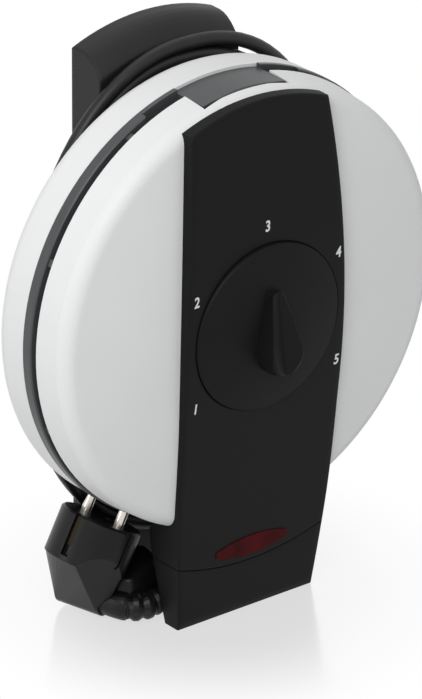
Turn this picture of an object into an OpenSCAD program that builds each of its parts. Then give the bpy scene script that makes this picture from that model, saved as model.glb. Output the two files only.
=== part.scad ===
// Donut maker for seven small rings, standing on its handle end.
// Millimetres, +Z up, +X right, -Y towards the lid, floor at z = 0.
// Most modules work in the disc frame: its origin is the centre of the
// lid's rim plane, and at_disc() puts that frame above the floor.

/* [Disc] */
// Height of the disc's centre above the floor
axis_height = 152; // [148:1:158]
// Radius of the lid at its rim
lid_r = 108; // [107:0.5:110]
// Depth of the lid from its rim to the top of its dome
lid_depth = 26; // [24:0.5:27]
// Depth of the base from the lid's rim plane to the back of its dome
base_depth = 37.5; // [36:0.5:39]
// Wall of the two shells
shell_wall = 2.2; // [1.8:0.1:3]
// Radius of the soft corner of both shells
corner_r = 8; // [5:0.5:9]

/* [Parting line] */
// Shadow gap between the lid's rim and the grey rim
rim_gap = 3.2; // [2.8:0.1:4]
// Thickness of the grey rim
rim_thick = 5.4; // [5:0.1:6]
// Distance of the plates' parting plane behind the lid's rim plane
parting_y = 1.6; // [1.2:0.1:2]
// Gap between the two closed plates
plate_gap = 0.5; // [0.4:0.1:1]

/* [Baking plates] */
// Thickness of each plate's rim
plate_thick = 3; // [2.5:0.1:3.4]
// Radius of the dough's round section
dough_r = 9; // [7:0.5:9.5]
// Wall of the plate round each well
well_wall = 2.4; // [2:0.1:3]
// Radius of the heating rod
rod_r = 3.4; // [3:0.1:4]

/* [Hinge] */
// Half width of the hinge block on the base
hinge_half_w = 23.6; // [20:0.2:26]
// Reach of the hinge block in front of the lid's rim plane
hinge_reach = 12.3; // [11:0.1:12.8]
// Radius of the hinge pin
pin_r = 1.5; // [1.2:0.1:2]
// Running clearance round the hinge pin and the dial's shaft
run_clear = 0.05; // [0.03:0.01:0.08]
// Distance of the hinge axis in front of the lid's rim plane
hinge_y = 2; // [1.6:0.1:2.4]

/* [Band and handle] */
// Half width of the black band where it is widest
band_half_w = 45.6; // [43:0.2:48]
// Radius of the band's long sides, seen from the front
band_side_radius = 1086; // [900:1:1400]
// Reach of the band's face in front of the lid's rim plane
band_reach = 30.3; // [29.5:0.1:32]
// Radius of the band's face, seen from the side
band_face_radius = 570; // [520:1:650]
// Depth of the handle's foot on the floor
handle_foot = 10.2; // [9:0.1:12]
// Half length of the lamp's lens
lens_half_l = 20.5; // [15:0.5:22]
// Half height of the lamp's lens
lens_half_h = 5; // [4:0.1:6]

/* [Dial] */
// Radius of the dial's disc
dial_r = 40.6; // [38:0.1:42]
// Height of the dial's centre above the disc's centre
dial_z = -3.9; // [-6:0.1:0]
// Height of the pointer knob at its round end
knob_h = 16.3; // [8:0.1:17]
// Radius of the pointer knob's round end
knob_r = 8.7; // [7:0.1:14]
// Radius of the dial's shaft
shaft_r = 3; // [2.5:0.1:3.5]

/* [Rear foot and cord store] */
// Half width of the rear foot
foot_half_w = 39.6; // [36:0.2:44]
// Distance of the rear foot's back behind the lid's rim plane
foot_back_y = 62.6; // [60:0.2:66]
// Radius of the rear foot's arched top
foot_top_r = 106; // [100:1:112]
// Rise of the rear foot's arched top above the lid's edge
foot_rise = 12.2; // [10:0.1:14]
// Wall of the rear foot
foot_wall = 3; // [2.5:0.1:4]
// Wall of the cord spool
spool_wall = 2.6; // [2:0.1:3.5]
// Diameter of the mains cord
cord_d = 6.6; // [6.2:0.1:7]
// Height of the rubber pads on the rear foot's back
pad_h = 1.2; // [1:0.1:1.6]

/* [Plug] */
// Radius of the plug's round head
plug_r = 19.4; // [18:0.1:19.5]
// Height of the plug's round head
plug_head_h = 22.6; // [20:0.1:24]
// Radius of the plug's contact pins
plug_pin_r = 2.4; // [2.4:0.1:2.4]
// Length of the plug's contact pins
plug_pin_l = 19; // [19:0.1:19]
// Distance between the axes of the contact pins
plug_pin_pitch = 19; // [19:0.1:19]

/* [Hidden] */
$fn = 96;

// Colours
white = [0.90, 0.91, 0.92];
rim_grey = [0.30, 0.31, 0.32];
charcoal = [0.10, 0.10, 0.11];
black = [0.06, 0.06, 0.065];
coating = [0.16, 0.16, 0.17];
steel = [0.72, 0.73, 0.75];
nickel = [0.80, 0.80, 0.78];
brass_tone = [0.80, 0.66, 0.36];
lens_red = [0.55, 0.03, 0.06];
ceramic = [0.85, 0.82, 0.74];

// General fits
seat = 0.15;         // two pieces that rest on each other
fixed_fit = 0.1;     // screw or pin in its own hole
slip = 0.5;          // open gap beside a piece that moves
eps = 0.01;

// Frame: the box of the rigid part is centred on x = 0, y = 0
front_reach = band_reach + knob_h - 0.8;
rim_y = (front_reach - foot_back_y - pad_h) / 2;

// Sizes that follow the lid's radius
lid_side_r = lid_r - 1;
rim_r = lid_r + 0.8;
plate_r = lid_r - 20;
beyond = 2 * lid_r;  // longer than any half size of the part

// Shell profiles
lid_dome_r = 770;
base_dome_r = 708;
shell_front_y = rim_gap + rim_thick;
dome_steps = 10;
corner_steps = 8;

// Plates
upper_face_y = parting_y - plate_gap / 2;
lower_face_y = parting_y + plate_gap / 2;
well_depth = dough_r + well_wall;
ring_pitch = 0.625 * plate_r;
well_r = ring_pitch / 2 - well_wall - 0.1;  // outer radius of the dough
ring_r = well_r - dough_r;
well_seat_r = well_r + 1;
rod_boss_h = rod_r + seat;
rod_boss_w = 5;
rod_ring_r = ring_pitch;
rod_gap_angle = 24;
ledge_in_r = plate_r - 4;
frame_out_r = lid_side_r - shell_wall - seat;
frame_front_y = -0.4;
frame_back_y = upper_face_y - plate_thick - seat - 2.4;

// Hinge
hinge_z = lid_side_r - 8.5;
hinge_top_r = lid_side_r;
notch_half_w = hinge_half_w + slip;
block_low_z = hinge_z - 4.5;
block_lip_z = hinge_z + 3.5;
block_chamfer = 1.2;
relief_r = 13.2;
ear_r = 3.4;
ear_w = 4.6;
ear_x = notch_half_w + 0.2;
recess_half_w = 43.5;
recess_y = rim_gap + 2.8;

// Band: arc above face_turn_z, straight below it
band_end_r = lid_r - 3.2;
seam_r = lid_r + 17.8;
face_mid_z = 15;
face_turn_z = -52;
face_turn_slope = (face_mid_z - face_turn_z) / band_face_radius;
face_slope = 0.89 * face_turn_slope;
side_mid_z = -20;
seam_gap = 0.3;
lens_z = -lid_r - 9.8;
lens_thick = 2.6;
lens_proud = 0.4;
lamp_r = 2.2;
lamp_l = 15;

// Dial
dial_y = -(band_reach - 0.1);
dial_tilt = 1.9;
dial_thick = 2.4;
dial_edge_h = 0.8;   // height of the dial's face at its edge
dial_dome_h = 4.6;   // height of the dial's face at its middle
pocket_depth = 2.8;
knob_back = 11.6;
knob_tip = 16.9;
knob_tip_r = 3.6;
knob_tip_h = 8.4;    // height of the knob at its pointed end
knob_edge = 1.2;     // width of the slope along the knob's upper edge
knob_end_fall = 6.4; // fall of the knob's top round its thick end
knob_valley = 4;     // depth of the valley along the knob's top at its thick end
thermostat_front_y = -(lid_depth - shell_wall - 1.6);
thermostat_d = 7.5;

// Rear foot and spool
foot_top_z = lid_r + foot_rise;
spool_half_w = 0.68 * lid_r;
spool_half_h = 0.97 * lid_r;
spool_mid_z = -5;
spool_front_y = 28;
spool_back_y = 41.5;
turn_pitch = cord_d + 0.2;
coil_front_y = spool_back_y - 0.3 - turn_pitch;
coil_in_gap = 0.4;
coil_loose = 4;      // slack of the outer turn at the right
coil_drop = 7;       // slack of the outer turn at the bottom
grommet_angle = -78;
grommet_r = cord_d / 2 + 0.9;
screw_r = 1.8;
screw_head_r = 3.6;
foot_screw_x = 24;
foot_screw_z = [-74, 66];
foot_screw_head_y = 48;
foot_screw_end_y = 24;
boss_r = 4.2;
rim_screw_r_pos = plate_r + 9.5;
rim_screw_angles = [45, 135, 225, 315];
spacer_angles = [24, 60, 120, 156, 201, 339];
pad_x = 28;
pad_z = [-138, 100];

// Plug, docked at the lower left of the base
plug_angle = 28;
plug_rho = rim_r + 8.4;
plug_y = 20.8;
plug_twist = 15;
slot_angles = [262];
chin_angle = -118;   // direction of the slope under the plug's head
chin_h = 14.5;
chin_slope = 32;

// Points that keep their place beside the lid's edge when its radius changes
function beside_lid(points) = [for (p = points) [p.x * lid_r / 108, p.y, p.z * lid_r / 108]];

// The plug's foot, the strain relief and the cord between it and the coil
plug_foot = beside_lid([[-63.2, 38.5, -141.2], [-55, 17, -142.9]]);
sleeve_points = beside_lid([
    [-55.8, 19.6, -143.2], [-53.9, 13.6, -143.8], [-51.2, 7.2, -144.2], [-46.2, 2.8, -144.3],
    [-39.6, 2.3, -144.3], [-32, 4.3, -144.3], [-25.4, 6.2, -144.3]
]);
tail_points = beside_lid([
    [57, 34.2, -98.5], [47.5, 31.4, -108.5], [36.5, 30.4, -118], [25, 28.6, -126], [13, 25.4, -133],
    [1.5, 20.6, -138.4], [-9, 14.6, -142.3], [-18.6, 8.8, -144.2], [-25.4, 6.4, -144.3],
    [-29, 5.6, -144.3]
]);
plug_foot_r = 9;
sleeve_r = 7.6;
sleeve_sides = 24;
sleeve_taper = 3;
rib_depth = 1.3;
tail_sides = 10;

// ------------------------------------------------------------------
// Frames and helpers

module at_disc() {
    translate([0, rim_y, axis_height]) children();
}

// Solid of revolution about the disc's axis from (radius, y) points
module spin(points) {
    rotate([-90, 0, 0]) rotate_extrude($fn = 180) polygon(points);
}

// Outline in (x, z) made solid from y0 to y1
module slab(y0, y1) {
    translate([0, y1, 0]) rotate([90, 0, 0]) linear_extrude(y1 - y0) children();
}

// Outline in (y, z) made solid from x0 to x1
module beam(x0, x1) {
    translate([x0, 0, 0]) rotate([90, 0, 90]) linear_extrude(x1 - x0) children();
}

// Cylinder along +Y
module rod_y(r, y0, y1, x = 0, z = 0) {
    translate([x, y0, z]) rotate([-90, 0, 0]) cylinder(r = r, h = y1 - y0, $fn = 48);
}

// Cylinder between two points
module rod_between(a, b, r1, r2) {
    d = b - a;
    len = norm(d);
    translate(a)
        rotate([0, acos(d.z / len), atan2(d.y, d.x)])
            cylinder(r1 = r1, r2 = r2, h = len, $fn = 32);
}

module around(angles, radius) {
    for (a = angles)
        translate([radius * cos(a), 0, radius * sin(a)]) children();
}

function arc(cx, cy, r, a0, a1, steps) =
    [for (i = [0:steps]) let (a = a0 + (a1 - a0) * i / steps) [cx + r * cos(a), cy + r * sin(a)]];

function ellipse(a, b, mid, step = 4) =
    [for (t = [0:step:360 - step]) [a * cos(t), mid + b * sin(t)]];

// Dome and soft corner of a shell as (radius, height) points, from the
// middle outwards and down the side wall. inset moves them inwards.
function dome_points(side_r, depth, dome_r, inset) =
    let (
        cr = side_r - corner_r,
        dome_mid = depth - dome_r,
        ch = dome_mid + sqrt(pow(dome_r - corner_r, 2) - cr * cr),
        tip = 90 - asin(cr / (dome_r - corner_r))
    )
    concat(
        arc(0, dome_mid, dome_r - inset, 90, tip, dome_steps),
        arc(cr, ch, corner_r - inset, tip, 0, corner_steps)
    );

function flip_y(points) = [for (p = points) [p.x, -p.y]];

// Solid lid form, from its rim plane to its dome
function lid_solid(inset) =
    flip_y(concat(
        [[0, 0]],
        dome_points(lid_side_r, lid_depth, lid_dome_r, inset),
        [[lid_r - inset, 0]]
    ));

// Solid base form, from y0 to its dome
function base_solid(inset, y0) =
    concat(
        [[0, y0]],
        dome_points(rim_r - 0.4, base_depth, base_dome_r, inset),
        [[rim_r - 0.4 - inset, y0]]
    );

// y of the band's face at height z, in front of the rim plane
function face_y(z) =
    z > face_turn_z
        ? -band_reach + pow(z - face_mid_z, 2) / (2 * band_face_radius)
        : face_y(face_turn_z + eps) + face_slope * (face_turn_z - z);

function band_w(z) = band_half_w - pow(z - side_mid_z, 2) / (2 * band_side_radius);

// ------------------------------------------------------------------
// Base

module base_shell() {
    color(white) at_disc() difference() {
        union() {
            difference() {
                spin(base_solid(0, shell_front_y + seat));
                spin(base_solid(shell_wall, shell_front_y - 1));
            }
            intersection() {
                spin(base_solid(shell_wall - eps, shell_front_y + seat));
                union() {
                    around(rim_screw_angles, rim_screw_r_pos)
                        rod_y(boss_r, shell_front_y + seat, base_depth);
                    foot_bosses(20, base_depth, boss_r);
                }
            }
        }
        around(rim_screw_angles, rim_screw_r_pos)
            rod_y(screw_r + fixed_fit, shell_front_y - 1, shell_front_y + 14);
        foot_bosses(18, base_depth + 1, screw_r + fixed_fit);
        at_plug() plug_pin_pair(plug_pin_r + fixed_fit);
        cord_way();
    }
}

// Screw positions of the rear foot, as cylinders from y0 to y1
module foot_bosses(y0, y1, r) {
    for (x = [-foot_screw_x, foot_screw_x], z = foot_screw_z)
        rod_y(r, y0, y1, x, z);
}

// Hole for the cord's lead from the spool into the base
module cord_way() {
    rod_y(cord_d / 2 + 1.2, base_depth - 6, base_depth + 1, 0, -rod_ring_r);
}

module base_rim() {
    color(rim_grey) at_disc() difference() {
        union() {
            difference() {
                spin([
                    [ledge_in_r, lower_face_y + plate_thick + seat],
                    [plate_r + 0.6, lower_face_y + plate_thick + seat],
                    [plate_r + 0.6, rim_gap - 0.9],
                    [plate_r + 2.4, rim_gap - 0.9],
                    [plate_r + 3.4, rim_gap],
                    [rim_r - 0.6, rim_gap],
                    [rim_r, rim_gap + 0.6],
                    [rim_r, shell_front_y],
                    [ledge_in_r, shell_front_y]
                ]);
                rim_recess();
                difference() {
                    translate([-hinge_half_w, 0, plate_r])
                        cube([2 * hinge_half_w, shell_front_y + 1, rim_r]);
                    rod_y(hinge_top_r, -1, shell_front_y + 2);
                }
            }
            hinge_block();
        }
        hinge_bore(pin_r + fixed_fit / 5);
        around(rim_screw_angles, rim_screw_r_pos) {
            rod_y(screw_r + fixed_fit, rim_gap - 1, shell_front_y + 1);
            rod_y(screw_head_r + fixed_fit, rim_gap - 1, rim_gap + 2.2);
        }
    }
}

// Pocket beside the hinge block that the lid's rim swings into
module rim_recess() {
    for (side = [-1, 1])
        translate([side * (hinge_half_w + recess_half_w) / 2, (recess_y - 4) / 2, plate_r + 12.5])
            cube([recess_half_w - hinge_half_w + 2 * eps, recess_y + 4, 20], center = true);
}

module hinge_block() {
    intersection() {
        spin([[0, -hinge_reach - 1], [hinge_top_r, -hinge_reach - 1], [hinge_top_r, shell_front_y],
              [0, shell_front_y]]);
        difference() {
            beam(-hinge_half_w, hinge_half_w)
                polygon(concat(
                    [[shell_front_y, block_low_z]],
                    arc(-hinge_y, hinge_z, hinge_z - block_low_z, -90, -180, 8),
                    [[-hinge_reach, block_lip_z],
                     [-hinge_reach, hinge_top_r - block_chamfer],
                     [-hinge_reach + block_chamfer, hinge_top_r],
                     [shell_front_y, hinge_top_r + 1]]
                ));
            hinge_end_bevels();
        }
    }
}

// The block's front edge slopes back where the lid's wall curves away
module hinge_end_bevels() {
    for (side = [-1, 1])
        translate([side * hinge_half_w, -hinge_reach, hinge_top_r])
            rotate([0, 45, 0]) cube([1.4, 4 * hinge_reach, 1.4], center = true);
}

module hinge_bore(r) {
    translate([-ear_x - 12, -hinge_y, hinge_z])
        rotate([0, 90, 0]) cylinder(r = r, h = 2 * ear_x + 24, $fn = 48);
}

module rim_spacers() {
    color(rim_grey) at_disc()
        for (a = spacer_angles)
            rotate([0, -a, 0])
                translate([rim_r - 4.2, 0.35, -1.8]) cube([2.8, rim_gap - 0.35, 3.6]);
}

module lower_plate() {
    color(coating) at_disc() plate(lower_face_y, 1);
}

module upper_plate() {
    color(coating) at_disc() plate(upper_face_y, -1);
}

module lower_wells() {
    color(coating) at_disc() plate_wells(lower_face_y, 1);
}

module upper_wells() {
    color(coating) at_disc() plate_wells(upper_face_y, -1);
}

// Puts the parting face at y = face, with the backs of the wells towards way
module at_face(face, way) {
    translate([0, face, 0]) mirror([0, way < 0 ? 1 : 0, 0]) children();
}

// The plate's rim and web, with a seat for each well
module plate(face, way) {
    at_face(face, way) difference() {
        spin([[0, 0], [plate_r - 0.6, 0], [plate_r, 0.6], [plate_r, plate_thick], [0, plate_thick]]);
        wells() rod_y(well_seat_r + fixed_fit, -1, plate_thick + 1);
    }
}

// The seven wells. Each has a collar in the plate and a round back with a closed post.
module plate_wells(face, way) {
    at_face(face, way) difference() {
        wells() well_back();
        wells() well_cut();
    }
}

module lower_rod_beds() {
    color(coating) at_disc() rod_beds(lower_face_y, 1);
}

module upper_rod_beds() {
    color(coating) at_disc() rod_beds(upper_face_y, -1);
}

// Saddles on the backs of the outer six wells, which hold the heating rod
module rod_beds(face, way) {
    at_face(face, way) difference() {
        intersection() {
            wells() rod_y(ring_r + 2, plate_thick, beyond);
            rod_ring([
                [-rod_boss_w, well_depth - 2], [rod_boss_w, well_depth - 2],
                [rod_boss_w, well_depth + rod_boss_h], [-rod_boss_w, well_depth + rod_boss_h]
            ]);
        }
        wells() well_ring(well_depth + seat);
        rotate([-90, 0, 0]) rotate_extrude($fn = 180)
            translate([rod_ring_r, well_depth + rod_boss_h]) circle(r = rod_r, $fn = 48);
    }
}

// Ring round the disc's axis whose section is given about the heating rod's radius
module rod_ring(section) {
    spin([for (p = section) [rod_ring_r + p.x, p.y]]);
}

module wells() {
    children();
    for (a = [0:60:300])
        translate([ring_pitch * cos(a), 0, ring_pitch * sin(a)]) children();
}

// Outside of a well, its collar in the plate and its post
module well_back() {
    intersection() {
        rotate([-90, 0, 0]) union() {
            rotate_extrude() translate([ring_r, 0]) circle(r = well_depth, $fn = 48);
            cylinder(r = ring_r, h = dough_r * 0.55 + well_wall);
        }
        spin([
            [0, 0], [well_seat_r, 0], [well_seat_r, plate_thick + fixed_fit],
            [beyond, plate_thick + fixed_fit], [beyond, beyond], [0, beyond]
        ]);
    }
}

// Dough space of a well, a half ring round its post
module well_cut() {
    well_ring(dough_r);
}

module well_ring(r) {
    rotate([-90, 0, 0]) rotate_extrude() translate([ring_r, 0]) circle(r = r, $fn = 48);
}

module lower_heater() {
    color(steel) at_disc()
        heater_rod(lower_face_y + well_depth + rod_boss_h, 1);
}

module upper_heater() {
    color(steel) at_disc()
        heater_rod(upper_face_y - well_depth - rod_boss_h, -1);
}

// Round rod in the plate's groove with its two cold ends at the bottom
module heater_rod(y, way) {
    start = -90 + rod_gap_angle / 2;
    translate([0, y, 0]) rotate([-90, 0, 0])
        rotate([0, 0, -start]) rotate([180, 0, 0])
            rotate_extrude(angle = 360 - rod_gap_angle, $fn = 180)
                translate([rod_ring_r, 0]) circle(r = rod_r - seat / 2, $fn = 48);
    for (side = [-1, 1]) {
        a = -90 + side * rod_gap_angle / 2;
        translate([rod_ring_r * cos(a), y, rod_ring_r * sin(a)])
            rotate([-90 * way, 0, 0]) cylinder(r = rod_r - 1, h = rod_r + 1.6, $fn = 32);
    }
}

module heat_shield() {
    pan_y = lower_face_y + well_depth + rod_boss_h + rod_r + seat;
    color(steel) at_disc() difference() {
        spin([
            [0, pan_y + 2.4], [30, pan_y + 2.4], [rod_ring_r - 8, pan_y], [rod_ring_r + 8, pan_y],
            [ledge_in_r - 8, pan_y - 7], [ledge_in_r - 1, shell_front_y + 0.2],
            [ledge_in_r + 4, shell_front_y + 0.2], [ledge_in_r + 4, shell_front_y + 1],
            [ledge_in_r, shell_front_y + 1], [ledge_in_r - 7.4, pan_y - 6.2],
            [rod_ring_r + 8.4, pan_y + 0.8], [rod_ring_r - 8, pan_y + 0.8],
            [30.3, pan_y + 3.2], [0, pan_y + 3.2]
        ]);
        for (side = [-1, 1]) {
            a = -90 + side * rod_gap_angle / 2;
            rod_y(rod_r + 0.6, 0, base_depth, rod_ring_r * cos(a), rod_ring_r * sin(a));
        }
    }
}

module terminal_block() {
    wall_y = base_depth - shell_wall - 4;
    color(ceramic) at_disc() difference() {
        intersection() {
            translate([-14, wall_y - 7.4, -38]) cube([28, 16, 12]);
            spin(base_solid(shell_wall + seat, 10));
        }
        for (x = [-8, 0, 8])
            translate([x, wall_y - 9, -32]) rotate([-90, 0, 0]) cylinder(r = 2.2, h = 5, $fn = 32);
    }
}

module hinge_pin() {
    half = ear_x + ear_w;
    color(steel) at_disc()
        translate([-half, -hinge_y, hinge_z]) rotate([0, 90, 0]) cylinder(r = pin_r, h = 2 * half, $fn = 48);
}

module rim_screws() {
    color(steel) at_disc()
        around(rim_screw_angles, rim_screw_r_pos) {
            difference() {
                rod_y(screw_head_r, rim_gap + 0.2, rim_gap + 2.2);
                cross_slot(rim_gap + 0.2, 1);
            }
            rod_y(screw_r, rim_gap + 2.1, shell_front_y + 12);
        }
}

// Cross recess in a screw head whose face lies at y, sunk towards way
module cross_slot(y, way) {
    for (turn = [0, 90])
        rotate([0, turn, 0]) translate([0, y, 0]) cube([4, 1.6, 0.9], center = true);
}

// ------------------------------------------------------------------
// Cord store and rear foot

module spool_outline(grow) {
    polygon(ellipse(spool_half_w + grow, spool_half_h + grow, spool_mid_z));
}

module cord_spool() {
    color(charcoal) at_disc() difference() {
        union() {
            difference() {
                slab(spool_front_y, spool_back_y) spool_outline(0);
                slab(spool_front_y - 8, spool_back_y - spool_wall) spool_outline(-spool_wall);
            }
            foot_bosses(spool_front_y - 3, spool_back_y - eps, boss_r + 1);
        }
        spin(base_solid(-seat, 0));
        foot_bosses(20, spool_back_y + 1, screw_r + fixed_fit);
        at_grommet() cylinder(r = grommet_r + fixed_fit, h = 20, center = true, $fn = 48);
    }
}

// Frame of the grommet: +Z out of the spool's wall
module at_grommet() {
    out = atan2(spool_half_w * sin(grommet_angle), spool_half_h * cos(grommet_angle));
    translate([spool_half_w * cos(grommet_angle), spool_back_y - grommet_r - 0.6,
               spool_mid_z + spool_half_h * sin(grommet_angle)])
        rotate([0, 90 - out, 0]) children();
}

module cord_grommet() {
    color(black) at_disc() at_grommet() difference() {
        union() {
            translate([0, 0, -spool_wall]) cylinder(r = grommet_r, h = spool_wall - 0.2, $fn = 48);
            translate([0, 0, -spool_wall - 4.6]) cylinder(r = grommet_r - 0.4, h = 4.7, $fn = 48);
        }
        cylinder(r = cord_d / 2 + 0.1, h = 30, center = true, $fn = 48);
    }
}

// Section of the foot's arched top as (radius, y) about the arch's centre
function foot_top_profile() = [
    [0, spool_back_y + seat], [foot_top_r - 9.2, spool_back_y + seat], [foot_top_r - 7.4, 43],
    [foot_top_r - 5.2, 45], [foot_top_r - 3.3, 47.1], [foot_top_r - 1.6, 49.7], [foot_top_r - 0.5, 52.4],
    [foot_top_r, 55.4], [foot_top_r, foot_back_y - 1], [foot_top_r - 1, foot_back_y], [0, foot_back_y]
];

module rear_foot() {
    arch_z = foot_top_z - foot_top_r;
    low = -axis_height;
    color(black) at_disc() difference() {
        union() {
            intersection() {
                translate([0, 0, arch_z]) spin(foot_top_profile());
                translate([-foot_half_w, 0, arch_z])
                    cube([2 * foot_half_w, 2 * foot_back_y, foot_top_r + 1]);
            }
            beam(-foot_half_w, foot_half_w)
                polygon([
                    [spool_back_y + seat, arch_z + eps], [spool_back_y + seat, low + 3],
                    [spool_back_y + 3, low],
                    [foot_back_y - 1, low], [foot_back_y, low + 1], [foot_back_y, arch_z + eps]
                ]);
        }
        difference() {
            translate([-foot_half_w + foot_wall, 30, -92])
                cube([2 * (foot_half_w - foot_wall), foot_back_y - foot_wall - 30, 176]);
            foot_bosses(30, foot_back_y, boss_r + 1);
            for (z = [-40, 30])
                translate([-foot_half_w, 30, z - 1]) cube([2 * foot_half_w, 40, 2]);
        }
        foot_bosses(30, foot_back_y + 1, screw_r + fixed_fit);
        foot_bosses(foot_screw_head_y - 2.2, foot_back_y + 1, screw_head_r + fixed_fit);
        foot_pad_places() rod_y(6.2, foot_back_y - 1, foot_back_y + 1);
    }
}

module foot_pad_places() {
    for (x = [-pad_x, pad_x], z = pad_z)
        translate([x, 0, z]) children();
}

module foot_pads() {
    color(black) at_disc() foot_pad_places()
        translate([0, foot_back_y - 1, 0]) rotate([-90, 0, 0]) {
            cylinder(r = 6, h = 0.6 + pad_h, $fn = 48);
            cylinder(r1 = 6, r2 = 5.6, h = 1 + pad_h, $fn = 48);
        }
}

module base_screws() {
    color(steel) at_disc() for (x = [-foot_screw_x, foot_screw_x], z = foot_screw_z)
        translate([x, 0, z]) {
            difference() {
                rod_y(screw_head_r, foot_screw_head_y - 2.2, foot_screw_head_y);
                cross_slot(foot_screw_head_y, -1);
            }
            rod_y(screw_r, foot_screw_end_y, foot_screw_head_y - 2.1);
        }
}

// Small moulding on the base that takes the rear contact pin
module plug_dock() {
    color(charcoal) at_disc() difference() {
        intersection() {
            at_plug() translate([0, plug_pin_pitch / 2, 0]) rotate([0, 0, -plug_twist])
                translate([-6, -7, 8.5]) cube([12, 10.8, 11.5]);
            translate([-beyond, 0, -beyond]) cube([2 * beyond, coil_front_y - 0.2, 2 * beyond]);
        }
        spin(base_solid(-seat, 0));
        at_plug() plug_pin_pair(plug_pin_r + fixed_fit);
        slab(spool_front_y - 8, foot_back_y) spool_outline(seat);
    }
}

// Outline of the second turn, which lies looser at the right and at the bottom
module outer_turn(grow) {
    a = spool_half_w + grow + coil_loose / 2;
    b = spool_half_h + grow + coil_drop / 2;
    translate([coil_loose / 2, -coil_drop / 2]) polygon(ellipse(a, b, spool_mid_z));
}

module cord_coil() {
    color(black) at_disc() difference() {
        slab(coil_front_y, coil_front_y + turn_pitch) difference() {
            outer_turn(coil_in_gap + 2 * turn_pitch);
            spool_outline(coil_in_gap);
        }
        at_plug() translate([0, 0, -plug_head_h - 1]) cylinder(r = plug_r + seat, h = plug_head_h + 1);
    }
}

// Unit vectors along the route and across it
function along(p, i) =
    let (a = p[max(i - 1, 0)], b = p[min(i + 1, len(p) - 1)]) (b - a) / norm(b - a);
function across(t) = let (v = cross(t, [0, 1, 0.2])) v / norm(v);
function ring_at(c, t, r, n) =
    let (u = across(t), w = cross(t, u))
    [for (k = [0:n - 1]) c + r * (cos(360 * k / n) * u + sin(360 * k / n) * w)];

// Points on a smooth curve through p, with steps rings to each stretch
function smooth(p, steps) = concat(
    [for (i = [0:len(p) - 2], k = [0:steps - 1])
        let (
            a = p[max(i - 1, 0)], b = p[i], c = p[i + 1], d = p[min(i + 2, len(p) - 1)], t = k / steps
        )
        0.5 * (2 * b + (c - a) * t + (2 * a - 5 * b + 4 * c - d) * t * t
            + (3 * b - a - 3 * c + d) * t * t * t)],
    [p[len(p) - 1]]
);

module tube(points, radii, n) {
    rings = [for (i = [0:len(points) - 1]) ring_at(points[i], along(points, i), radii[i], n)];
    last = len(points) - 1;
    polyhedron(
        points = [for (ring = rings, q = ring) q],
        faces = concat(
            [[for (k = [0:n - 1]) k]],
            [for (i = [0:last - 1], k = [0:n - 1])
                let (m = (k + 1) % n) [i * n + k, (i + 1) * n + k, (i + 1) * n + m, i * n + m]],
            [[for (k = [n - 1:-1:0]) last * n + k]]
        )
    );
}

module cord_tail() {
    route = smooth(tail_points, 2);
    color(black) at_disc() tube(route, [for (p = route) cord_d / 2], tail_sides);
}

// ------------------------------------------------------------------
// Plug

// Frame of the docked plug: +Z along the pins into the base
module at_plug() {
    translate([-plug_rho * sin(plug_angle), plug_y, -plug_rho * cos(plug_angle)])
        rotate([0, plug_angle, 0]) rotate([0, 0, plug_twist]) children();
}

module plug_pin_pair(r) {
    for (side = [-1, 1])
        translate([0, side * plug_pin_pitch / 2, -6]) cylinder(r = r, h = 6 + plug_pin_l, $fn = 48);
}

sleeve_route = smooth(sleeve_points, 4);

module plug_body() {
    color(black) at_disc() difference() {
        union() {
            difference() {
                union() {
                    at_plug() {
                        translate([0, 0, -plug_head_h]) cylinder(r = plug_r, h = plug_head_h - 1);
                        translate([0, 0, -1]) cylinder(r1 = plug_r, r2 = plug_r - 1, h = 1);
                    }
                    hull() {
                        at_plug() translate([0, 0, -plug_head_h]) cylinder(r = plug_r - 0.4, h = 1, $fn = 32);
                        plug_ground();
                    }
                }
                at_plug() rotate([0, 0, chin_angle]) translate([plug_r, 0, -chin_h])
                    rotate([0, chin_slope, 0]) translate([0, -plug_r, -beyond])
                        cube([beyond, 2 * plug_r, beyond]);
            }
            plug_ground();
        }
        at_plug() {
            plug_pin_pair(plug_pin_r);
            for (side = [-1, 1])
                translate([side * (plug_r - 0.6), 0, -plug_head_h / 2 + 2.4])
                    cube([4.2, 4, plug_head_h], center = true);
            for (a = slot_angles)
                rotate([0, 0, a]) translate([plug_r, 0, 0]) cube([3, 1.4, 2 * (plug_head_h - 4)], center = true);
            translate([4.6, 0, -8]) cylinder(r = 2.5, h = 10, $fn = 32);
        }
        tube(sleeve_route, [for (p = sleeve_route) sleeve_r + seat / 2], sleeve_sides);
    }
}

// Foot of the plug's body, round where the cord runs in it
module plug_ground() {
    rod_between(plug_foot[0], plug_foot[1], plug_foot_r, plug_foot_r);
}

module plug_pins() {
    color(nickel) at_disc() at_plug()
        for (side = [-1, 1])
            translate([0, side * plug_pin_pitch / 2, -6]) {
                cylinder(r = plug_pin_r, h = 6 + plug_pin_l - 1.2, $fn = 48);
                translate([0, 0, 6 + plug_pin_l - 1.2])
                    cylinder(r1 = plug_pin_r, r2 = plug_pin_r - 1, h = 1.2, $fn = 48);
            }
}

module plug_earth_clips() {
    color(brass_tone) at_disc() at_plug()
        for (side = [-1, 1])
            translate([side * (plug_r - 2.1), 0, -8]) cube([1, 4, 14], center = true);
}

// Ribbed strain relief that bends out of the plug's foot towards the cord
module plug_sleeve() {
    count = len(sleeve_route);
    end = sleeve_points[len(sleeve_points) - 1];
    before = sleeve_points[len(sleeve_points) - 2];
    color(black) at_disc() difference() {
        tube(sleeve_route, [for (i = [0:count - 1])
            sleeve_r - seat - sleeve_taper * pow(i / count, 2) - (i > 6 && i % 3 == 0 ? rib_depth : 0)],
            sleeve_sides);
        rod_between(before + (end - before) * 0.35, 2 * end - before, cord_d / 2 + 0.1, cord_d / 2 + 0.1);
    }
}

// ------------------------------------------------------------------
// Lid

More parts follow.
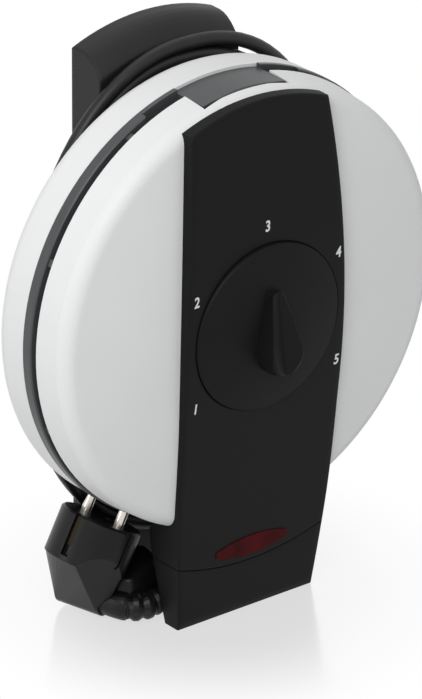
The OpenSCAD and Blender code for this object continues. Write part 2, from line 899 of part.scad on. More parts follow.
module lid_shell() {
    color(white) at_disc() difference() {
        union() {
            difference() {
                spin(lid_solid(0));
                spin([for (p = lid_solid(shell_wall)) [p.x, p.y == 0 ? 1 : p.y]]);
            }
            intersection() {
                spin(lid_solid(shell_wall - eps));
                around(rim_screw_angles, rim_screw_r_pos) rod_y(boss_r, -lid_depth, frame_back_y - seat);
            }
        }
        translate([-notch_half_w, -hinge_reach - slip, plate_r])
            cube([2 * notch_half_w, hinge_reach + slip + 1, lid_r]);
        hinge_relief();
        hinge_ears(seat);
        around(rim_screw_angles, rim_screw_r_pos)
            rod_y(screw_r + fixed_fit, frame_back_y - 14, 1);
        at_dial() cylinder(r = shaft_r + slip, h = 30, center = true, $fn = 48);
    }
}

// Space that the hinge block needs while the lid turns round it
module hinge_relief() {
    translate([-notch_half_w, -hinge_y, hinge_z])
        rotate([0, 90, 0]) cylinder(r = relief_r, h = 2 * notch_half_w, $fn = 96);
}

module lid_frame() {
    color(rim_grey) at_disc() difference() {
        union() {
            difference() {
                spin([
                    [ledge_in_r, frame_back_y], [frame_out_r, frame_back_y],
                    [frame_out_r, frame_front_y], [plate_r + 0.4, frame_front_y],
                    [plate_r + 0.4, upper_face_y - plate_thick - seat],
                    [ledge_in_r, upper_face_y - plate_thick - seat]
                ]);
                translate([-notch_half_w, -lid_depth, lid_r / 2])
                    cube([2 * notch_half_w, 2 * lid_depth, lid_r]);
            }
            hinge_ears(0);
        }
        hinge_bore(pin_r + run_clear);
        around(rim_screw_angles, rim_screw_r_pos) {
            rod_y(screw_r + fixed_fit, frame_back_y - 1, 1);
            rod_y(screw_head_r + fixed_fit, frame_front_y - 2.2, 1);
        }
    }
}

// Ears of the frame that turn on the hinge pin, larger by grow
module hinge_ears(grow) {
    for (side = [-1, 1])
        translate([side * (ear_x + ear_w / 2), -hinge_y, hinge_z])
            rotate([0, 90, 0]) cylinder(r = ear_r + grow, h = ear_w + 2 * grow, center = true, $fn = 48);
}

module lid_screws() {
    color(steel) at_disc()
        around(rim_screw_angles, rim_screw_r_pos) {
            difference() {
                rod_y(screw_head_r, frame_front_y - 2.2, frame_front_y - 0.2);
                cross_slot(frame_front_y - 0.2, -1);
            }
            rod_y(screw_r, frame_back_y - 12, frame_front_y - 2.1);
        }
}

// Front outline of band and handle together, in (x, z)
function band_outline() =
    let (
        low = -axis_height, chamfer = 2.5,
        top_a = acos(band_w(band_end_r * 0.93) / band_end_r),
        right = [for (i = [0:12]) let (z = low + chamfer + (band_end_r * sin(top_a) - low - chamfer) * i / 12)
            [band_w(z), z]]
    )
    concat(
        [[-(band_w(low) - chamfer), low], [band_w(low) - chamfer, low]],
        right,
        arc(0, 0, band_end_r, top_a + 1, 179 - top_a, 16),
        [for (i = [12:-1:0]) [-right[i].x, right[i].y]]
    );

// Band and handle as one form, before the seam divides it
module band_form() {
    low = -axis_height;
    foot_y = face_y(low) + handle_foot;
    intersection() {
        slab(-beyond, 1) polygon(band_outline());
        union() {
            intersection() {
                beam(-beyond, beyond) translate([band_face_radius - band_reach, face_mid_z])
                    circle(r = band_face_radius, $fn = 360);
                translate([-beyond, -beyond, face_turn_z]) cube([2 * beyond, beyond, beyond]);
            }
            beam(-beyond, beyond)
                polygon([
                    [face_y(face_turn_z), face_turn_z + eps], [0, face_turn_z + eps], [0, -lid_r - 4],
                    [foot_y, low], [face_y(low), low]
                ]);
        }
    }
}

module lid_band() {
    color(charcoal) at_disc() difference() {
        intersection() {
            band_form();
            rod_y(seam_r, -beyond, 10);
        }
        spin(lid_solid(-seat));
        rod_y(lid_r + seat, -6, 10);
        at_dial() {
            translate([0, 0, -pocket_depth]) cylinder(r = dial_r + slip, h = 20, $fn = 180);
            cylinder(r = shaft_r + 0.3, h = 30, center = true, $fn = 48);
        }
        lens_space(seat, lens_thick + 2 * lamp_r + 2);
    }
}

module handle_tip() {
    color(charcoal) at_disc() difference() {
        band_form();
        rod_y(seam_r + seam_gap, -beyond, 10);
    }
}

// Lens outline with blunt ends
module lens_outline(grow) {
    bow = (pow(lens_half_l, 2) + pow(lens_half_h - 1.6, 2)) / (2 * (lens_half_h - 1.6));
    intersection() {
        translate([0, lens_half_h - bow]) circle(r = bow + grow, $fn = 180);
        translate([0, bow - lens_half_h]) circle(r = bow + grow, $fn = 180);
        square([2 * (lens_half_l + grow), 40], center = true);
    }
}

// Space behind the band's face that the lens fills, back_depth deep
module lens_space(grow, back_depth, proud = 5) {
    top = lens_z + 9;
    low = lens_z - 9;
    intersection() {
        translate([0, 0, lens_z]) slab(-beyond, 0) lens_outline(grow);
        beam(-beyond, beyond)
            polygon([
                [face_y(low) - proud, low], [face_y(top) - proud, top],
                [face_y(top) + back_depth, top], [face_y(low) + back_depth, low]
            ]);
    }
}

module lamp_lens() {
    color(lens_red) at_disc() difference() {
        lens_space(0, lens_thick, lens_proud);
        spin(lid_solid(-seat));
    }
}

module indicator_lamp() {
    y = face_y(lens_z) + lens_thick + lamp_r + 0.5;
    color(brass_tone) at_disc() translate([-lamp_l / 2, y, lens_z])
        rotate([0, 90, 0]) cylinder(r = lamp_r, h = lamp_l, $fn = 48);
}

// ------------------------------------------------------------------
// Dial and thermostat

// Frame of the dial: +Z out of the band's face
module at_dial() {
    translate([0, dial_y, dial_z]) rotate([90 + dial_tilt, 0, 0]) children();
}

module thermostat() {
    front = dial_y - thermostat_front_y;
    color(ceramic) at_disc() at_dial() difference() {
        union() {
            translate([-14, -12, front - thermostat_d]) cube([28, 24, thermostat_d]);
            translate([0, 0, front - eps]) cylinder(r = 7, h = 1.2, $fn = 48);
        }
        translate([0, 0, front - thermostat_d + 1.5]) cylinder(r = shaft_r + run_clear, h = 20, $fn = 48);
    }
}

module dial_knob() {
    color(charcoal) at_disc() at_dial() {
        rotate_extrude($fn = 180) polygon(concat(
            [[0, -dial_thick], [dial_r, -dial_thick], [dial_r, 0]],
            [for (i = [0:8]) let (r = (dial_r - dial_edge_h) * (1 - i / 8))
                [r, dial_edge_h + (dial_dome_h - dial_edge_h) * (1 - pow(r / dial_r, 2))]]
        ));
        knob();
    }
}

// Pointer knob, lower at its tip and round its thick end, with a valley along its top
module knob() {
    full = knob_back - 2;
    slope = knob_valley / knob_r;
    tip_valley_h = knob_tip_h - slope * knob_tip_r;
    fall = atan((knob_h - knob_valley - tip_valley_h) / (full + knob_tip + knob_tip_r));
    difference() {
        hull() {
            translate([0, -knob_back, -eps]) cylinder(r = knob_r, h = knob_h - knob_end_fall);
            translate([0, -full, -eps]) cylinder(r = knob_r, h = knob_h - knob_edge);
            translate([0, -full + knob_edge, knob_h - 1]) cylinder(r = knob_r - knob_edge, h = 1);
            translate([0, knob_tip, -eps]) cylinder(r = knob_tip_r, h = knob_tip_h - knob_edge, $fn = 32);
            translate([0, knob_tip, -eps]) cylinder(r = knob_tip_r - knob_edge, h = knob_tip_h, $fn = 32);
        }
        translate([0, -full, knob_h - knob_valley]) rotate([-fall, 0, 0])
            slab(-dial_r, dial_r)
                polygon([[0, 0], [dial_r, slope * dial_r], [-dial_r, slope * dial_r]]);
    }
}

module dial_shaft() {
    front = dial_y - thermostat_front_y;
    color(steel) at_disc() at_dial()
        translate([0, 0, front - thermostat_d + 1.8])
            cylinder(r = shaft_r, h = -dial_thick - (front - thermostat_d + 1.8), $fn = 48);
}

base_shell();
base_rim();
rim_spacers();
lower_plate();
lower_wells();
lower_rod_beds();
lower_heater();
heat_shield();
terminal_block();
cord_spool();
cord_grommet();
rear_foot();
foot_pads();
base_screws();
rim_screws();
hinge_pin();
plug_dock();
cord_coil();
cord_tail();
plug_body();
plug_pins();
plug_earth_clips();
plug_sleeve();
lid_shell();
lid_frame();
upper_plate();
upper_wells();
upper_rod_beds();
upper_heater();
lid_screws();
lid_band();
handle_tip();
lamp_lens();
indicator_lamp();
thermostat();
dial_knob();
dial_shaft();
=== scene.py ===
"""Looks of the seven-ring donut maker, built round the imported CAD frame."""
import math

import bmesh
import bpy
from mathutils import Matrix, Vector


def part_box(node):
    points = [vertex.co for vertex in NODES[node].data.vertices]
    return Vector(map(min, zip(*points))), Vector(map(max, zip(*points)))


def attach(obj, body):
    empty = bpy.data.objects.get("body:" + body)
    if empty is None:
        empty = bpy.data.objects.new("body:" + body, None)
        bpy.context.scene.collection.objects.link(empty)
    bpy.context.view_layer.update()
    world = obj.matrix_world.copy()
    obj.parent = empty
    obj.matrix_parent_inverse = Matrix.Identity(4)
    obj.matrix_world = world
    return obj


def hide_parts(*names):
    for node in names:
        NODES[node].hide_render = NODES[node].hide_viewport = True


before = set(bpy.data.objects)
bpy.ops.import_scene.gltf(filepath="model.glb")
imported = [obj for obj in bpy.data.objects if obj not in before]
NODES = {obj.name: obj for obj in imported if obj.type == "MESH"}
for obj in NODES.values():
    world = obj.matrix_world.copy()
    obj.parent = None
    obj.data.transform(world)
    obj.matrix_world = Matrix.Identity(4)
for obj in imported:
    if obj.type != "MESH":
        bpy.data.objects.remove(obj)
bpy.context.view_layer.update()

# The disc frame of part.scad: millimetres from the centre of the lid's rim plane
MM = 0.001
RIM_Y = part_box("lid_shell")[1][1] / MM
AXIS_Z = 152.0


def P(x, y, z):
    """A point of the disc frame, in the row frame and in metres."""
    return Vector((x * MM, (y + RIM_Y) * MM, (z + AXIS_Z) * MM))


def add_object(name, data):
    """A new object in the scene's collection."""
    obj = bpy.data.objects.new(name, data)
    bpy.context.scene.collection.objects.link(obj)
    return obj


def mesh_of(bm, name):
    """The mesh of a bmesh, which is freed."""
    mesh = bpy.data.meshes.new(name)
    bm.to_mesh(mesh)
    bm.free()
    return mesh


# ---------------------------------------------------------------- camera

CAM_AZ = math.radians(38.5)
CAM_EL = math.radians(25.5)
CAM_ROLL = math.radians(0.3)
CAM_DISTANCE = 3.379
CAM_LENS = 384.2
CAM_RIGHT = -6.8 * MM
CAM_UP = -24.0 * MM


def make_camera():
    forward = Vector((math.sin(CAM_AZ) * math.cos(CAM_EL), math.cos(CAM_AZ) * math.cos(CAM_EL),
                      -math.sin(CAM_EL)))
    level = Vector((math.cos(CAM_AZ), -math.sin(CAM_AZ), 0))
    over = level.cross(forward)
    right = level * math.cos(CAM_ROLL) + over * math.sin(CAM_ROLL)
    up = over * math.cos(CAM_ROLL) - level * math.sin(CAM_ROLL)
    data = bpy.data.cameras.new("camera")
    data.sensor_width = 36
    data.lens = CAM_LENS
    data.clip_start, data.clip_end = 0.1, 30
    cam = add_object("camera", data)
    target = P(0, 0, 0) + right * CAM_RIGHT + up * CAM_UP
    rot = Matrix((right, up, -forward)).transposed().to_4x4()
    cam.matrix_world = Matrix.Translation(target - forward * CAM_DISTANCE) @ rot
    bpy.context.scene.camera = cam


make_camera()

# ---------------------------------------------------------------- materials


class Nodes:
    """A small builder for one node tree."""

    def __init__(self, name):
        self.mat = bpy.data.materials.new(name)
        self.mat.use_nodes = True
        self.tree = self.mat.node_tree
        self.bsdf = self.tree.nodes["Principled BSDF"]

    def add(self, kind, **values):
        node = self.tree.nodes.new(kind)
        for key, value in values.items():
            if hasattr(node, key):
                setattr(node, key, value)
            else:
                node.inputs[key.replace("_", " ")].default_value = value
        return node

    def link(self, a, out, b, into):
        self.tree.links.new(a.outputs[out], b.inputs[into])

    def set(self, **values):
        for key, value in values.items():
            self.bsdf.inputs[key.replace("_", " ")].default_value = value
        return self


def rgb(r, g, b):
    return (r, g, b, 1.0)


def finish_of(name, low, high, scale, rough, bump_scale=0.0, bump=0.0, bump_mm=0.02, detail=3.0,
              edge=0.0, **sockets):
    """Colour and roughness vary slowly between two values.

    bump is a fine grain, and edge softens the corners of a grained finish, in millimetres.
    """
    n = Nodes(name)
    where = n.add("ShaderNodeTexCoord")
    noise = n.add("ShaderNodeTexNoise", Scale=scale, Detail=detail, Roughness=0.55)
    ramp = n.add("ShaderNodeValToRGB")
    ramp.color_ramp.elements[0].position = 0.32
    ramp.color_ramp.elements[1].position = 0.68
    ramp.color_ramp.elements[0].color = rgb(*low)
    ramp.color_ramp.elements[1].color = rgb(*high)
    n.link(where, "Object", noise, "Vector")
    n.link(noise, "Fac", ramp, "Fac")
    n.link(ramp, "Color", n.bsdf, "Base Color")
    spread = n.add("ShaderNodeMapRange")
    spread.inputs["To Min"].default_value = rough[0]
    spread.inputs["To Max"].default_value = rough[1]
    n.link(noise, "Fac", spread, "Value")
    n.link(spread, "Result", n.bsdf, "Roughness")
    if bump:
        grain = n.add("ShaderNodeTexNoise", Scale=bump_scale, Detail=2.0, Roughness=0.6)
        push = n.add("ShaderNodeBump", Strength=bump, Distance=bump_mm * MM)
        n.link(where, "Object", grain, "Vector")
        n.link(grain, "Fac", push, "Height")
        if edge:
            soft = n.add("ShaderNodeBevel", samples=4, Radius=edge * MM)
            n.link(soft, "Normal", push, "Normal")
        n.link(push, "Normal", n.bsdf, "Normal")
    n.set(**sockets)
    return n.mat


MAT = {
    "white": finish_of("white_enamel", (0.75, 0.755, 0.755), (0.79, 0.795, 0.795), 9, (0.42, 0.52),
                       900, 0.25, 0.015, Specular_IOR_Level=0.3),
    "rim": finish_of("rim_plastic", (0.048, 0.050, 0.053), (0.062, 0.064, 0.067), 30, (0.34, 0.46),
                     2200, 0.35, 0.03, edge=0.4, Specular_IOR_Level=0.4),
    "charcoal": finish_of("charcoal_plastic", (0.0066, 0.0068, 0.0070), (0.0084, 0.0086, 0.0088),
                          30, (0.46, 0.58), 2600, 0.4, 0.03, edge=0.5, Specular_IOR_Level=0.10),
    "black": finish_of("black_plastic", (0.0090, 0.0092, 0.0096), (0.012, 0.0122, 0.0126), 26,
                       (0.42, 0.54), 2400, 0.4, 0.03, edge=2.5, Specular_IOR_Level=0.25),
    "rubber": finish_of("rubber", (0.006, 0.006, 0.0062), (0.010, 0.010, 0.0102), 120, (0.5, 0.66),
                        3200, 0.3, 0.02, Specular_IOR_Level=0.2),
    "plug": finish_of("plug_rubber", (0.0030, 0.0031, 0.0034), (0.0048, 0.0049, 0.0053), 60,
                      (0.30, 0.40), 2600, 0.35, 0.02, edge=0.6, Specular_IOR_Level=0.22),
    "cord": finish_of("cord_sheath", (0.0075, 0.0077, 0.0080), (0.011, 0.0112, 0.0116), 160,
                      (0.36, 0.48), 2600, 0.25, 0.02, Specular_IOR_Level=0.3),
    "coating": finish_of("non_stick", (0.024, 0.025, 0.026), (0.036, 0.037, 0.038), 700, (0.34, 0.5),
                         1800, 0.5, 0.04, detail=6.0),
    "steel": finish_of("steel", (0.50, 0.51, 0.53), (0.62, 0.63, 0.65), 40, (0.24, 0.38), 1400, 0.2,
                       0.01, Metallic=1.0),
    "nickel": finish_of("nickel", (0.66, 0.62, 0.56), (0.74, 0.70, 0.63), 60, (0.16, 0.24), 1600,
                        0.12, 0.008, Metallic=1.0),
    # the earth clips' brass is painted almost black: painted shade of the slot they sit in, darker
    # than brass is under any lamp
    "brass_painted_shade": finish_of("brass_painted_shade", (0.016, 0.013, 0.009), (0.026, 0.022, 0.015), 60, (0.4, 0.5),
                       1600, 0.15, 0.01, Metallic=1.0),
    "ceramic": finish_of("ceramic", (0.62, 0.58, 0.48), (0.70, 0.66, 0.57), 50, (0.45, 0.6),
                         1200, 0.2, 0.02),
    "ink": finish_of("white_ink", (0.70, 0.71, 0.72), (0.78, 0.79, 0.80), 400, (0.5, 0.6), 3000, 0.2,
                     0.01),
    "lens": finish_of("red_lens", (0.036, 0.001, 0.0018), (0.085, 0.002, 0.004), 90, (0.2, 0.3),
                      Specular_IOR_Level=0.05),
}

NODE_FINISH = {
    "base_shell": "white", "base_rim": "rim", "rim_spacers": "rim", "lower_plate": "coating",
    "lower_wells": "coating", "lower_rod_beds": "coating", "lower_heater": "steel",
    "heat_shield": "steel", "terminal_block": "ceramic", "cord_spool": "charcoal",
    "cord_grommet": "rubber", "rear_foot": "black", "foot_pads": "rubber", "base_screws": "steel",
    "rim_screws": "steel", "hinge_pin": "steel", "plug_dock": "charcoal", "cord_coil": "cord",
    "cord_tail": "cord", "plug_body": "plug", "plug_pins": "nickel", "plug_earth_clips": "brass_painted_shade",
    "plug_sleeve": "plug", "lid_shell": "white", "lid_frame": "rim", "upper_plate": "coating",
    "upper_wells": "coating", "upper_rod_beds": "coating", "upper_heater": "steel",
    "lid_screws": "steel", "lid_band": "charcoal", "handle_tip": "charcoal", "lamp_lens": "lens",
    "indicator_lamp": "ceramic", "thermostat": "ceramic", "dial_knob": "charcoal",
    "dial_shaft": "steel",
}
SMOOTH_ANGLE = math.radians(30)


def dress(obj, finish):
    obj.data.materials.clear()
    obj.data.materials.append(MAT[finish])
    obj.data.shade_smooth()
    obj.data.set_sharp_from_angle(angle=SMOOTH_ANGLE)


for node_name, node in NODES.items():
    dress(node, NODE_FINISH.get(node_name, "black"))

# ---------------------------------------------------------------- the mains cord

CORD_R = 3.3
COIL_Y = 37.8
INNER = ((0.0, -5.0), (77.2, 108.6))     # centre and half widths of the first turn
OUTER = ((2.0, -8.5), (86.0, 118.9))     # and of the second, which hangs loose
SHOULDER = 1.18          # how square both are at their upper right
START_ANGLE = -78.0
END_ANGLE = -762.0
COIL_STEPS = 172
RISE_END = -100.0        # the cord has reached its lane here
STEP_START = -392.0      # it climbs on to the second lane between these
STEP_END = -432.0
START_IN = -7.0          # it starts this much inside its lane
TAIL_STEPS = 4
TAIL = [(57, 36, -100), (47.5, 33, -109.5), (36.5, 31, -118.5), (25, 28.6, -126),
        (13, 25.4, -133), (1.5, 20.6, -138.4), (-9, 14.6, -142.3), (-18.6, 8.8, -144.2),
        (-25.4, 6.4, -144.3), (-29, 5.6, -144.3)]


def ease(t):
    t = min(1.0, max(0.0, t))
    return t * t * (3 - 2 * t)


def coil_point(angle):
    """A point of the coil's centreline, in the disc frame."""
    rise = START_IN * (1 - ease((START_ANGLE - angle) / (START_ANGLE - RISE_END)))
    out = ease((STEP_START - angle) / (STEP_START - STEP_END))
    mid, half = [[a + (b - a) * out for a, b in zip(i, o)] for i, o in zip(INNER, OUTER)]
    c, s = math.cos(math.radians(angle)), math.sin(math.radians(angle))
    if c > 0 and s > 0:
        c, s = c ** (1 / SHOULDER), s ** (1 / SHOULDER)
    return Vector((mid[0] + (half[0] + rise) * c, COIL_Y, mid[1] + (half[1] + rise) * s))


def catmull(points, steps):
    """Points on a smooth curve through the given ones."""
    p = [Vector(q) for q in points]
    out = []
    for i in range(len(p) - 1):
        a, b, c, d = p[max(i - 1, 0)], p[i], p[i + 1], p[min(i + 2, len(p) - 1)]
        for k in range(steps):
            t = k / steps
            out.append(0.5 * (2 * b + (c - a) * t + (2 * a - 5 * b + 4 * c - d) * t * t
                              + (3 * b - a - 3 * c + d) * t ** 3))
    return out + [p[-1]]


def curve_tube(name, points, radius, finish, body, sides=10):
    """A tube along points of the disc frame."""
    data = bpy.data.curves.new(name, "CURVE")
    data.dimensions = "3D"
    data.bevel_depth = radius * MM
    data.bevel_resolution = sides
    data.use_fill_caps = True
    spline = data.splines.new("POLY")
    spline.points.add(len(points) - 1)
    for point, q in zip(spline.points, points):
        point.co = (*P(*q), 1)
    spline.use_smooth = True
    obj = add_object(name, data)
    data.materials.append(MAT[finish])
    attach(obj, body)
    return obj


def make_cord():
    """The whole cord, with the start and the length of its centreline."""
    turns = [coil_point(START_ANGLE + (END_ANGLE - START_ANGLE) * i / COIL_STEPS)
             for i in range(COIL_STEPS)]
    route = turns + catmull(TAIL, TAIL_STEPS)
    cord = curve_tube("mains_cord", route, CORD_R, "cord", "base")
    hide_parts("cord_coil", "cord_tail")
    length = sum((b - a).length for a, b in zip(route, route[1:]))
    return cord, route[0], length


# Corners of the plug's foot, which is their hull
GRIP = [(-60, 20, -131), (-50, 6, -131), (-60, 21, -149), (-52, 4.5, -150.5), (-29, 8, -129),
        (-29, 8, -150.5), (-28, 26, -126), (-32, 32, -150.5), (-60, 40, -133), (-60, 42, -149)]
GRIP_ROUND = 1.6
RIDGE = [(-59.6, 22.5, -144), (-57.5, 17, -144.2), (-54.6, 10, -144.4), (-51.6, 4.6, -144.4)]
RIDGE_R = 5.2
RIDGE_STEPS = 6


def make_grip():
    """The foot of the plug, with a ridge where the cord runs through it."""
    bm = bmesh.new()
    for q in GRIP:
        bm.verts.new(P(*q))
    bmesh.ops.convex_hull(bm, input=bm.verts)
    bmesh.ops.dissolve_limit(bm, angle_limit=math.radians(2), verts=bm.verts, edges=bm.edges)
    bmesh.ops.bevel(bm, geom=bm.edges[:], offset=GRIP_ROUND * MM, segments=3, profile=0.5,
                    affect="EDGES", clamp_overlap=True)
    bmesh.ops.recalc_face_normals(bm, faces=bm.faces)
    mesh = mesh_of(bm, "plug_grip")
    mesh.materials.append(MAT["plug"])
    mesh.shade_smooth()
    mesh.set_sharp_from_angle(angle=SMOOTH_ANGLE)
    grip = add_object("plug_grip", mesh)
    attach(grip, "base")
    ridge = curve_tube("plug_ridge", catmull(RIDGE, RIDGE_STEPS), RIDGE_R, "plug", "base", sides=8)


make_grip()
cord, cord_start, cord_mm = make_cord()

# ---------------------------------------------------------------- band and handle

DIAL_Z = -3.9
FACE_REACH = 30.3
FACE_MID_Z = 15.0
FACE_R = 570.0
FACE_TURN_Z = -52.0
FACE_TURN_SLOPE = 0.89 * (FACE_MID_Z - FACE_TURN_Z) / FACE_R
LID_R = 108.0
LID_DEPTH = 26
LID_DOME_R = 770
LID_CORNER_R = 8
LID_CORNER_AT = 99       # radius and depth of the middle of the lid's rounded corner
LID_CORNER_Y = 11.54
LID_DOME_END = 98.6      # the dome meets the corner here
BAND_HALF_W = 45.6
BAND_MID_Z = -20
BAND_BULGE = 2172        # twice the radius of the band's sides
FOOT_FLARE = 1.5         # how much wider the band grows towards its foot
FLARE_FROM = -40
FLARE_OVER = 70
BACK_SINK = 1.0          # the band's back lies this far inside the lid's face
BACK_END = 1.5
BACK_Y = -6.0
BACK_RISE_OVER = 3
BACK_TURN_Z = -112       # below this the handle's back falls by BACK_FALL
BACK_FALL = 5.7
BAND_END_R = 104.8
SEAM_R = 125.8
SEAM_GAP = 0.3
FLOOR_Z = -152.0
FLOOR_CLEAR = 0.02
EDGE_R = 1.3
SEAM_EDGE_R = 0.45
POCKET_R = 41.1
POCKET_DEPTH = 2.8
SIDE_STEPS = 22
BAND_STEPS = 44
HANDLE_STEPS = 8
WIDTH_ROUNDS = 6         # x and z depend on each other, so both are found in rounds
CREASE_ANGLE = math.radians(40)


def face_y(z):
    """y of the band's face at height z."""
    if z > FACE_TURN_Z:
        return -FACE_REACH + (z - FACE_MID_Z) ** 2 / (2 * FACE_R)
    return face_y(FACE_TURN_Z + 1e-6) + FACE_TURN_SLOPE * (FACE_TURN_Z - z)


def band_w(z):
    """Half the band's width at height z."""
    bulge = (z - BAND_MID_Z) ** 2 / BAND_BULGE
    return BAND_HALF_W - bulge + FOOT_FLARE * ease((FLARE_FROM - z) / FLARE_OVER)


def lid_y(r):
    """y of the lid's face at radius r."""
    if r < LID_DOME_END:
        return -(math.sqrt(LID_DOME_R ** 2 - r * r) - (LID_DOME_R - LID_DEPTH))
    corner = max(0.0, LID_CORNER_R ** 2 - (r - LID_CORNER_AT) ** 2)
    return -(LID_CORNER_Y + math.sqrt(corner))


def back_y(x, z):
    """y of the hidden back of the band: inside the lid, and sloped below it."""
    r = math.hypot(x, z)
    if r < LID_R - BACK_END:
        return lid_y(r) + BACK_SINK
    low_end = BACK_TURN_Z - FLOOR_Z
    slope = (z - BACK_TURN_Z) * BACK_FALL / low_end if z < BACK_TURN_Z else 0.0
    return BACK_Y - BACK_Y * ease((r - LID_R) / BACK_RISE_OVER) + slope


def near(count):
    """Steps from 0 to 1 that lie close together at both ends, within the rounded edge."""
    inner = [i / count for i in range(1, count)]
    return [0.0, 0.0008, 0.004, 0.009, 0.0145] + inner + [0.9855, 0.991, 0.996, 0.9992, 1.0]


def drop(d, r=EDGE_R):
    """How far the face falls back at distance d from an edge of radius r."""
    return r - math.sqrt(max(0.0, r * r - (r - min(d, r)) ** 2))


def arch(x, radius):
    """Height above the middle of a circle's edge at x."""
    return math.sqrt(radius ** 2 - x * x)


def loft(name, top, bottom, rows, cols, top_r, bottom_r):
    """A closed form between two edges, top(x) and bottom(x), with rounded front edges."""
    bm = bmesh.new()
    front, back = [], []
    for t in near(rows):
        line_f, line_b = [], []
        for u in near(cols):
            z = 0.0
            for _ in range(WIDTH_ROUNDS):
                x = (2 * u - 1) * band_w(z)
                z = top(x) + (bottom(x) - top(x)) * t
            x = (2 * u - 1) * band_w(z)
            fall = max(drop(band_w(z) - abs(x)), drop(top(x) - z, top_r),
                       drop(z - bottom(x), bottom_r))
            line_f.append(bm.verts.new(P(x, face_y(z) + fall, z)))
            line_b.append(bm.verts.new(P(x, back_y(x, z), z)))
        front.append(line_f)
        back.append(line_b)
    n, m = len(front), len(front[0])
    for i in range(n - 1):
        for j in range(m - 1):
            bm.faces.new((front[i][j], front[i + 1][j], front[i + 1][j + 1], front[i][j + 1]))
            bm.faces.new((back[i][j], back[i][j + 1], back[i + 1][j + 1], back[i + 1][j]))
    ring = ([(0, j) for j in range(m)] + [(i, m - 1) for i in range(1, n)]
            + [(n - 1, j) for j in range(m - 2, -1, -1)] + [(i, 0) for i in range(n - 2, 0, -1)])
    for (i, j), (k, q) in zip(ring, ring[1:] + ring[:1]):
        bm.faces.new((front[i][j], front[k][q], back[k][q], back[i][j]))
    bmesh.ops.recalc_face_normals(bm, faces=bm.faces)
    mesh = mesh_of(bm, name)
    mesh.materials.append(MAT["charcoal"])
    mesh.shade_smooth()
    mesh.set_sharp_from_angle(angle=CREASE_ANGLE)
    return add_object(name, mesh)


def carve(obj, cutter):
    """Cut one closed form out of another, and drop the cutter."""
    mod = obj.modifiers.new("carve", "BOOLEAN")
    mod.object = cutter
    mod.operation = "DIFFERENCE"
    mod.solver = "EXACT"
    graph = bpy.context.evaluated_depsgraph_get()
    mesh = bpy.data.meshes.new_from_object(obj.evaluated_get(graph))
    obj.modifiers.clear()
    obj.data = mesh
    mesh.set_sharp_from_angle(angle=CREASE_ANGLE)
    bpy.data.objects.remove(cutter)


def on_face(x, z):
    """The place on the band's face at (x, z), with its own Z square to the face."""
    slope = (face_y(z + 1) - face_y(z - 1)) / 2
    turn = Matrix.Rotation(math.pi / 2 - math.atan(slope), 4, "X")
    return Matrix.Translation(P(x, face_y(z), z)) @ turn


def disc_cutter(radius, depth):
    """A cylinder square to the dial's face."""
    bm = bmesh.new()
    bmesh.ops.create_cone(bm, cap_ends=True, segments=180, radius1=radius * MM,
                          radius2=radius * MM, depth=2 * depth * MM, matrix=on_face(0, DIAL_Z))
    return add_object("cutter", mesh_of(bm, "cutter"))


def make_band():
    band = loft("band", lambda x: arch(x, BAND_END_R), lambda x: -arch(x, SEAM_R),
                BAND_STEPS, SIDE_STEPS, EDGE_R, SEAM_EDGE_R)
    carve(band, disc_cutter(POCKET_R, POCKET_DEPTH))
    handle = loft("handle", lambda x: -arch(x, SEAM_R + SEAM_GAP),
                  lambda x: FLOOR_Z + FLOOR_CLEAR, HANDLE_STEPS, SIDE_STEPS, SEAM_EDGE_R, EDGE_R)
    for piece, node in ((band, "lid_band"), (handle, "handle_tip")):
        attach(piece, "lid")
        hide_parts(node)


make_band()

# ---------------------------------------------------------------- dial numbers

NUMBERS = {"1": (-39.7, -34.6), "2": (-40.8, 19.4), "3": (0.1, 45.4), "4": (40.7, 21.5),
           "5": (41.8, -33.2)}
NUMBER_SIZE = 7.2
NUMBER_SHEAR = 0.10
NUMBER_BOLD = 0.16
NUMBER_PROUD = 0.03
NUMBER_NARROW = 0.84     # width against that of the typeface


def make_numbers():
    for text, (x, z) in NUMBERS.items():
        data = bpy.data.curves.new("number_" + text, "FONT")
        data.body = text
        data.size = NUMBER_SIZE * MM
        data.shear = NUMBER_SHEAR
        data.offset = NUMBER_BOLD * MM
        data.extrude = NUMBER_PROUD * MM
        data.align_x, data.align_y = "CENTER", "CENTER"
        obj = add_object("number_" + text, data)
        data.materials.append(MAT["ink"])
        obj.matrix_world = on_face(x, z) @ Matrix.Diagonal((NUMBER_NARROW, 1, 1, 1))
        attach(obj, "lid")


make_numbers()

# ---------------------------------------------------------------- stage and light


FLOOR_FADE = (0.05, 0.14)    # metres from the middle, between which shadow and shine fade out
FLOOR_GLOW = 0.66
FLOOR_SHINE = 0.6
FLOOR_HALF = 12              # metres


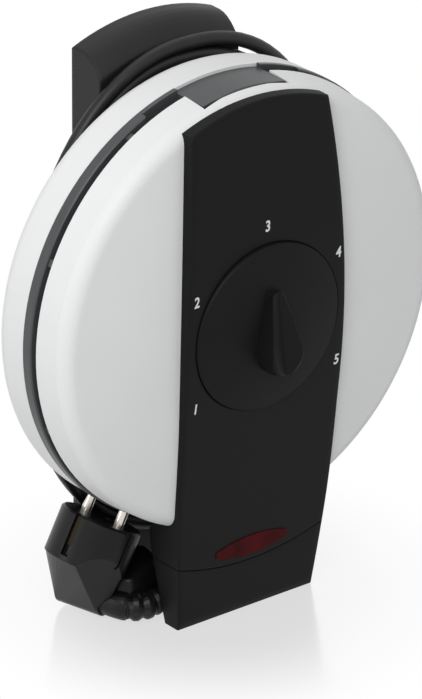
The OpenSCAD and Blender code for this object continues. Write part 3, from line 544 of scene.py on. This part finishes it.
def make_stage():
    """A floor that glows white away from the object and keeps its shadow and mirror image."""
    bm = bmesh.new()
    bmesh.ops.create_grid(bm, x_segments=1, y_segments=1, size=FLOOR_HALF)
    mesh = mesh_of(bm, "floor")
    floor = add_object("floor", mesh)
    n = Nodes("floor_white")
    n.set(Roughness=0.6)
    n.bsdf.inputs["Base Color"].default_value = rgb(0.62, 0.62, 0.625)
    out = n.tree.nodes["Material Output"]
    glow = n.add("ShaderNodeEmission", Strength=1.0)
    shine = n.add("ShaderNodeBsdfGlossy", Roughness=0.17)
    shine.inputs["Color"].default_value = rgb(1, 1, 1)
    path = n.add("ShaderNodeLightPath")
    where = n.add("ShaderNodeTexCoord")
    size = n.add("ShaderNodeVectorMath", operation="LENGTH")
    fade = n.add("ShaderNodeMapRange", interpolation_type="SMOOTHSTEP")
    fade.inputs["From Min"].default_value = FLOOR_FADE[0]
    fade.inputs["From Max"].default_value = FLOOR_FADE[1]
    fade.inputs["To Min"].default_value = FLOOR_GLOW
    seen = n.add("ShaderNodeMath", operation="MAXIMUM")
    seen2 = n.add("ShaderNodeMath", operation="MAXIMUM")
    both = n.add("ShaderNodeMath", operation="MULTIPLY")
    share = n.add("ShaderNodeMath", operation="MULTIPLY")
    share.inputs[1].default_value = FLOOR_SHINE
    polish = n.add("ShaderNodeMixShader")
    mix = n.add("ShaderNodeMixShader")
    n.link(where, "Object", size, 0)
    n.link(size, "Value", fade, "Value")
    n.link(path, "Is Camera Ray", seen, 0)
    n.link(path, "Is Glossy Ray", seen, 1)
    n.link(seen, "Value", seen2, 0)
    n.link(path, "Is Transmission Ray", seen2, 1)
    n.link(fade, "Result", both, 0)
    n.link(seen2, "Value", both, 1)
    n.link(seen2, "Value", share, 0)
    n.link(share, "Value", polish, "Fac")
    n.link(n.bsdf, "BSDF", polish, 1)
    n.link(shine, "BSDF", polish, 2)
    n.link(both, "Value", mix, "Fac")
    n.link(polish, "Shader", mix, 1)
    n.link(glow, "Emission", mix, 2)
    n.link(mix, "Shader", out, "Surface")
    mesh.materials.append(n.mat)


WORLD_LIGHT = 0.44


def make_world():
    """White to the camera and in reflections, and dimmer as a light."""
    world = bpy.data.worlds.new("studio")
    bpy.context.scene.world = world
    world.use_nodes = True
    tree = world.node_tree
    back = tree.nodes["Background"]
    back.inputs["Color"].default_value = rgb(1, 1, 1)
    path = tree.nodes.new("ShaderNodeLightPath")
    seen = tree.nodes.new("ShaderNodeMath")
    seen.operation = "MAXIMUM"
    seen2 = tree.nodes.new("ShaderNodeMath")
    seen2.operation = "MAXIMUM"
    level = tree.nodes.new("ShaderNodeMapRange")
    level.inputs["To Min"].default_value = WORLD_LIGHT
    level.inputs["To Max"].default_value = 1.0
    tree.links.new(path.outputs["Is Camera Ray"], seen.inputs[0])
    tree.links.new(path.outputs["Is Glossy Ray"], seen.inputs[1])
    tree.links.new(seen.outputs[0], seen2.inputs[0])
    tree.links.new(path.outputs["Is Transmission Ray"], seen2.inputs[1])
    tree.links.new(seen2.outputs[0], level.inputs["Value"])
    tree.links.new(level.outputs[0], back.inputs["Strength"])


def area_light(name, place, size, power, aim=(0, 0, 0.14)):
    data = bpy.data.lights.new(name, "AREA")
    data.shape = "RECTANGLE"
    data.size, data.size_y = size
    data.energy = power
    obj = add_object(name, data)
    obj.location = place
    obj.rotation_euler = (Vector(aim) - Vector(place)).to_track_quat("-Z", "Y").to_euler()


make_stage()
make_world()
area_light("key", (-1.1, -1.0, 1.5), (1.0, 1.0), 19.5)
area_light("top", (0.2, 0.5, 1.9), (1.4, 1.0), 4)
area_light("side", (-1.6, 0.35, 0.5), (0.5, 0.9), 4.5, aim=(0, 0, 0.12))

bpy.context.scene.view_settings.view_transform = "Standard"
